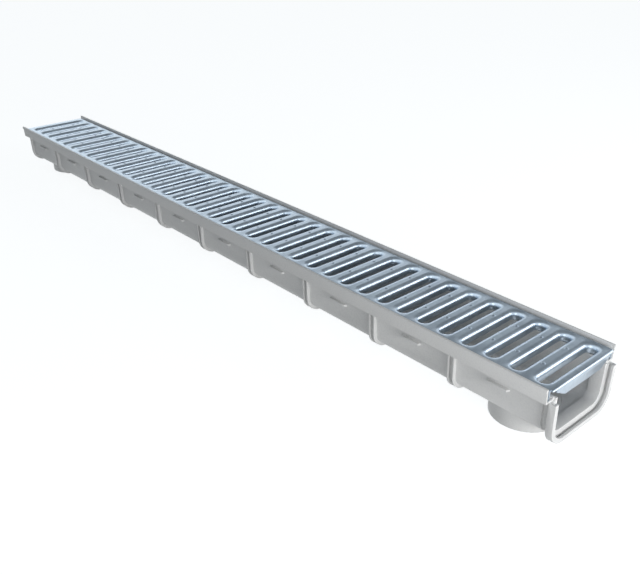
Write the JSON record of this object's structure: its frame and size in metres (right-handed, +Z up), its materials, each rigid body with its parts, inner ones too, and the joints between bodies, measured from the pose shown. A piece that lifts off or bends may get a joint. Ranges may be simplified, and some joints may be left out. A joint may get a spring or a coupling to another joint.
{
  "type": "channel drain",
  "caption": "Straight U-shaped plastic channel drain with outside ribs, a socket joint, a round bottom outlet and a slotted steel grating set in its rim.",
  "frame": {"origin": "middle of the drain's length and width, in the plane of the underside of the outlet spigot, on which it stands", "axes": "+X along the channel towards the socket and the outlet, +Y across it, +Z up to the grating"},
  "size_m": [1.0064, 0.105, 0.071],
  "materials": {
    "channel_plastic": "satin moulded light grey polypropylene",
    "grating_steel": "bright hot-dip galvanised pressed sheet"
  },
  "bodies": {
    "root": {"channel": "channel_plastic", "grating": "grating_steel"}
  },
  "joints": []
}
